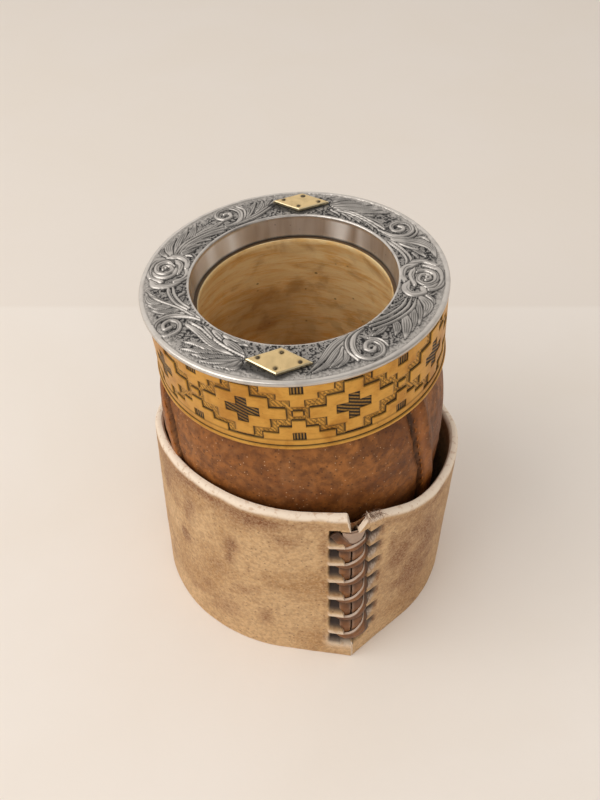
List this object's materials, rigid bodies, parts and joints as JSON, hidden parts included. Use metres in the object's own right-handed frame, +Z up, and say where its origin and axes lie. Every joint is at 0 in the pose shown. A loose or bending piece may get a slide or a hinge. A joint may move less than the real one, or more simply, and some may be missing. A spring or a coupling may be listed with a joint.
{
  "type": "mate gourd cup",
  "caption": "Empty calabash mate cup with a chased silver rim, engraved brass band and leather cover, standing in a laced rawhide sleeve.",
  "frame": {"origin": "on the table, under the middle of the whole object's outline", "axes": "+Z up; the laced corner of the sleeve points towards -Y and a little to +X; the cup leans 3.2 degrees towards -X"},
  "size_m": [0.1038, 0.1079, 0.1253],
  "materials": {
    "gourd": "satin",
    "cover_leather": "satin",
    "silver": "antique polished",
    "brass": "satin",
    "brass_dark": "satin",
    "rawhide": "matt",
    "lace_leather": "satin"
  },
  "bodies": {
    "root": {"gourd": "gourd", "leather_cover": "cover_leather", "silver_rim": "silver", "brass_band": "brass", "diamond_front": "brass", "diamond_back": "brass", "base_sleeve": "rawhide", "lace_end": "lace_leather", "rivet_front_1": "brass_dark", "rivet_front_2": "brass_dark", "rivet_front_3": "brass_dark", "rivet_front_4": "brass_dark", "rivet_back_1": "brass_dark", "rivet_back_2": "brass_dark", "rivet_back_3": "brass_dark", "rivet_back_4": "brass_dark", "lace_over_1": "lace_leather", "lace_under_1": "lace_leather", "lace_over_2": "lace_leather", "lace_under_2": "lace_leather", "lace_over_3": "lace_leather", "lace_under_3": "lace_leather", "lace_over_4": "lace_leather", "lace_under_4": "lace_leather", "lace_over_5": "lace_leather", "lace_under_5": "lace_leather", "lace_over_6": "lace_leather", "lace_under_6": "lace_leather"}
  },
  "joints": []
}
